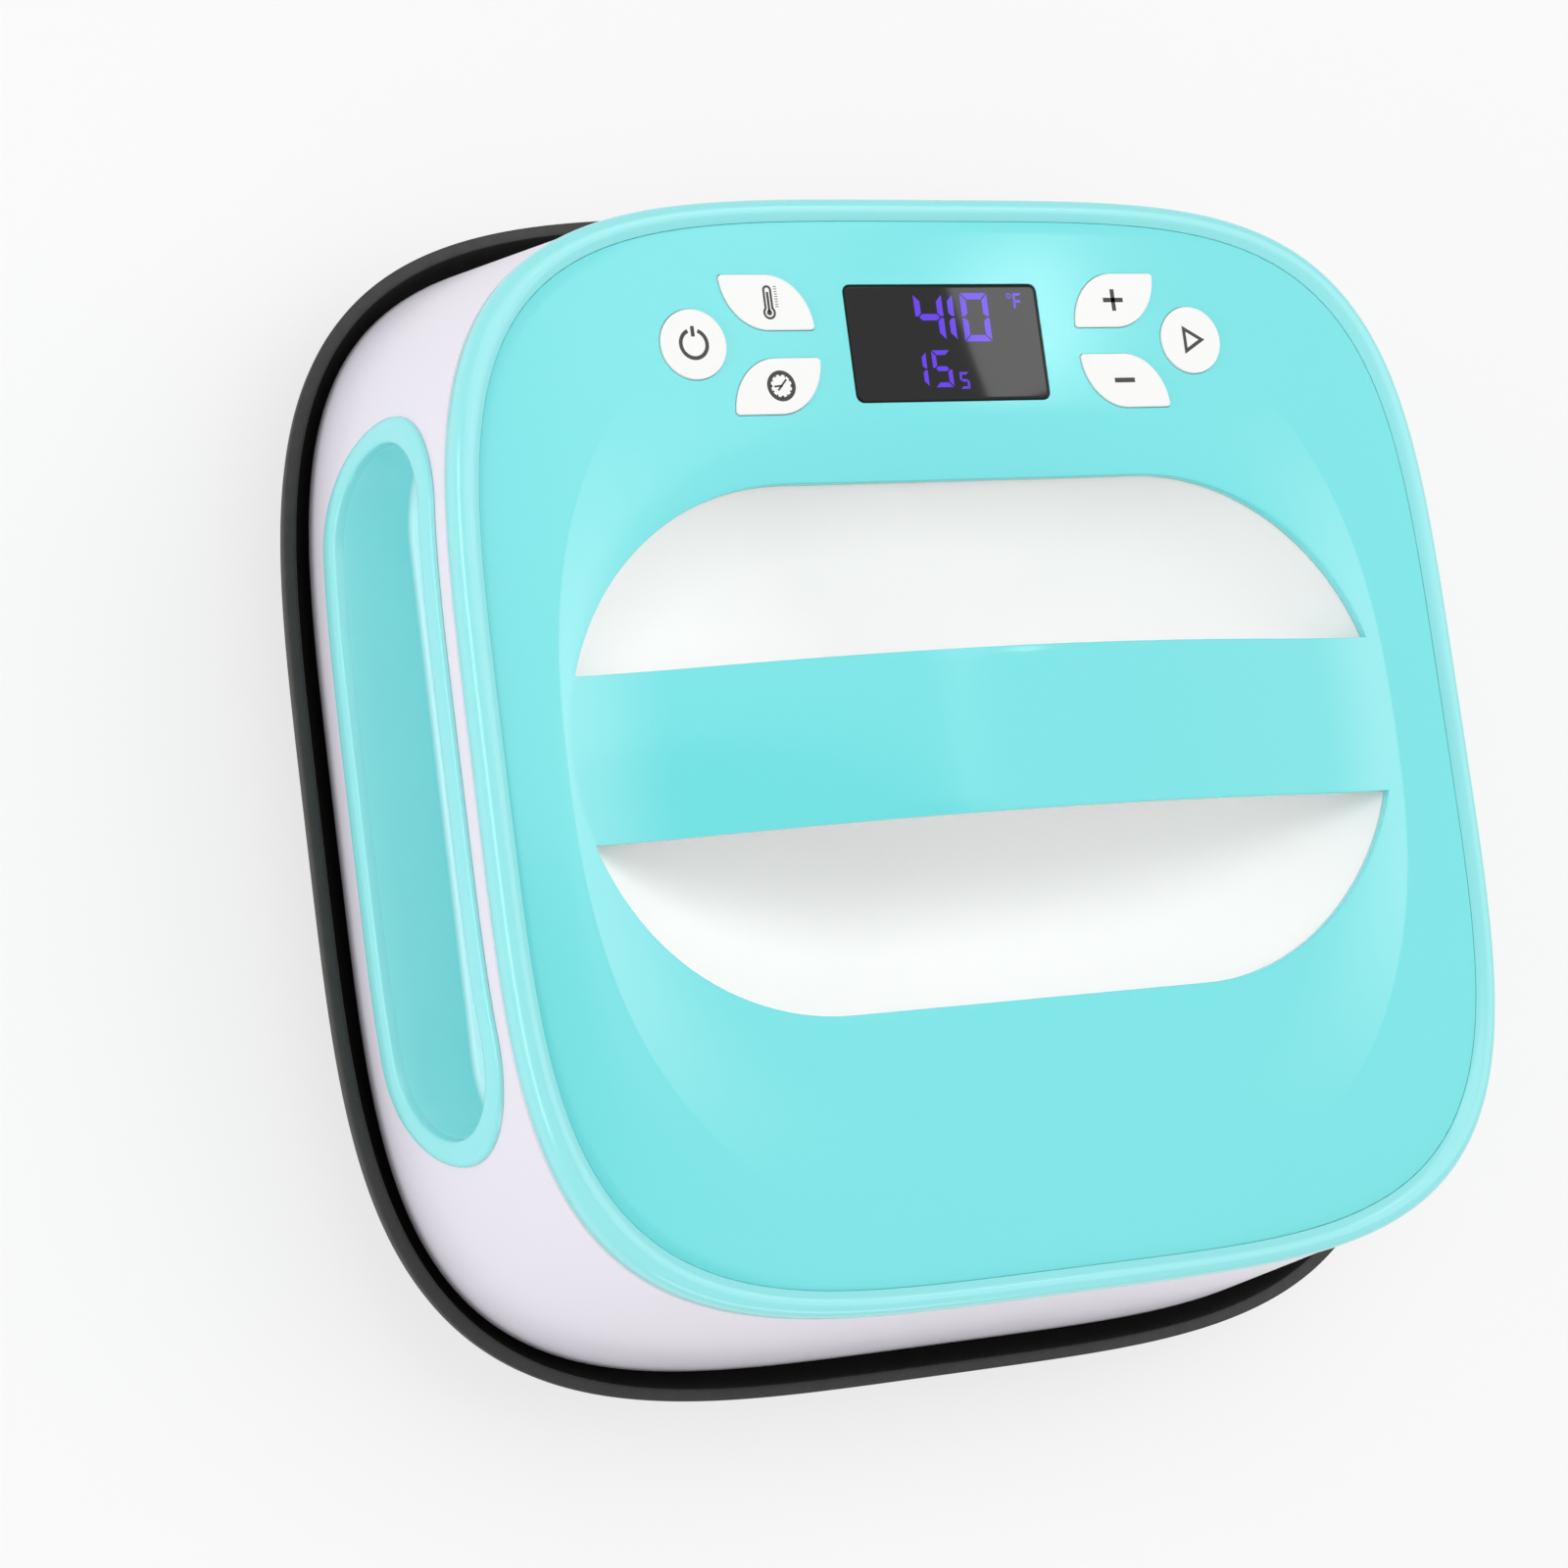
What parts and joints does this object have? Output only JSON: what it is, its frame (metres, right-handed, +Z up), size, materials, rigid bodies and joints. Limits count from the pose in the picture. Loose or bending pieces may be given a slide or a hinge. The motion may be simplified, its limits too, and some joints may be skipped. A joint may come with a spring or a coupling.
{
  "type": "portable heat press",
  "caption": "Square hand-held heat press with an arched grip bar over hand wells, a display, push buttons and side pockets, seated in a shallow base tray.",
  "frame": {"origin": "on the table surface, under the middle of the base tray", "axes": "+Z up, +Y toward the display at the rear, +X to the right of the display"},
  "size_m": [0.318, 0.3146, 0.113],
  "materials": {
    "black_textured": "fine sand texture",
    "rubber": "soft matte",
    "plate_coating": "non-stick coating",
    "steel": "plain",
    "ceramic": "glazed ceramic",
    "wool": "pressed fibre blanket",
    "aluminium": "mill finish",
    "white_plastic": "smooth satin gloss",
    "button_white": "smooth",
    "mint_plastic": "high gloss",
    "mint_pocket": "gloss",
    "dark_window": "polished tinted window",
    "black_plastic": "moulded",
    "green_board": "solder mask",
    "blue_plastic": "moulded",
    "grey_parts": "taped winding and flat cable"
  },
  "bodies": {
    "base": {"base_tray": "black_textured", "base_foot_1": "rubber", "base_foot_2": "rubber", "base_foot_3": "rubber", "base_foot_4": "rubber"},
    "press": {"cord_gland": "rubber", "heat_plate": "plate_coating", "heater_tube": "steel", "temperature_probe": "steel", "standoff_1": "steel", "standoff_2": "steel", "standoff_3": "steel", "standoff_4": "steel", "case_screw_1": "steel", "case_screw_2": "steel", "case_screw_3": "steel", "case_screw_4": "steel", "cover_screw_1": "steel", "cover_screw_2": "steel", "cover_screw_3": "steel", "cover_screw_4": "steel", "board_screw_1": "steel", "board_screw_2": "steel", "board_screw_3": "steel", "board_screw_4": "steel", "heater_terminal_left": "ceramic", "heater_terminal_right": "ceramic", "thermostat": "ceramic", "thermal_fuse": "ceramic", "insulation_blanket": "wool", "heat_shield": "aluminium", "heat_sink": "aluminium", "bottom_cover": "white_plastic", "body_shell": "white_plastic", "grip_underside": "white_plastic", "hand_well": "white_plastic", "rim_bezel": "mint_plastic", "face_panel": "mint_plastic", "side_pocket_left": "mint_pocket", "side_pocket_right": "mint_pocket", "display_window": "dark_window", "display_module": "black_plastic", "buzzer": "black_plastic", "power_switch": "black_plastic", "start_switch": "black_plastic", "temperature_switch": "black_plastic", "timer_switch": "black_plastic", "plus_switch": "black_plastic", "minus_switch": "black_plastic", "control_board": "green_board", "power_board": "green_board", "relay": "blue_plastic", "transformer": "grey_parts", "ribbon_cable": "grey_parts"},
    "power_cap": {"power_button": "button_white"},
    "start_cap": {"start_button": "button_white"},
    "temperature_cap": {"temperature_button": "button_white"},
    "timer_cap": {"timer_button": "button_white"},
    "plus_cap": {"plus_button": "button_white"},
    "minus_cap": {"minus_button": "button_white"}
  },
  "joints": [
    {"name": "lift_off", "type": "slide", "parent": "base", "child": "press", "axis": [0, 0, 1], "range_m": [0, 0.12]},
    {"name": "power_press", "type": "slide", "parent": "press", "child": "power_cap", "axis": [0, 0, -1], "range_m": [0, 0.0008], "stiffness_N_per_m": 300, "springref_m": -0.0003},
    {"name": "start_press", "type": "slide", "parent": "press", "child": "start_cap", "axis": [0, 0, -1], "range_m": [0, 0.0008], "stiffness_N_per_m": 300, "springref_m": -0.0003},
    {"name": "temperature_press", "type": "slide", "parent": "press", "child": "temperature_cap", "axis": [0, 0, -1], "range_m": [0, 0.0008], "stiffness_N_per_m": 300, "springref_m": -0.0003},
    {"name": "timer_press", "type": "slide", "parent": "press", "child": "timer_cap", "axis": [0, 0, -1], "range_m": [0, 0.0008], "stiffness_N_per_m": 300, "springref_m": -0.0003},
    {"name": "plus_press", "type": "slide", "parent": "press", "child": "plus_cap", "axis": [0, 0, -1], "range_m": [0, 0.0008], "stiffness_N_per_m": 300, "springref_m": -0.0003},
    {"name": "minus_press", "type": "slide", "parent": "press", "child": "minus_cap", "axis": [0, 0, -1], "range_m": [0, 0.0008], "stiffness_N_per_m": 300, "springref_m": -0.0003}
  ]
}
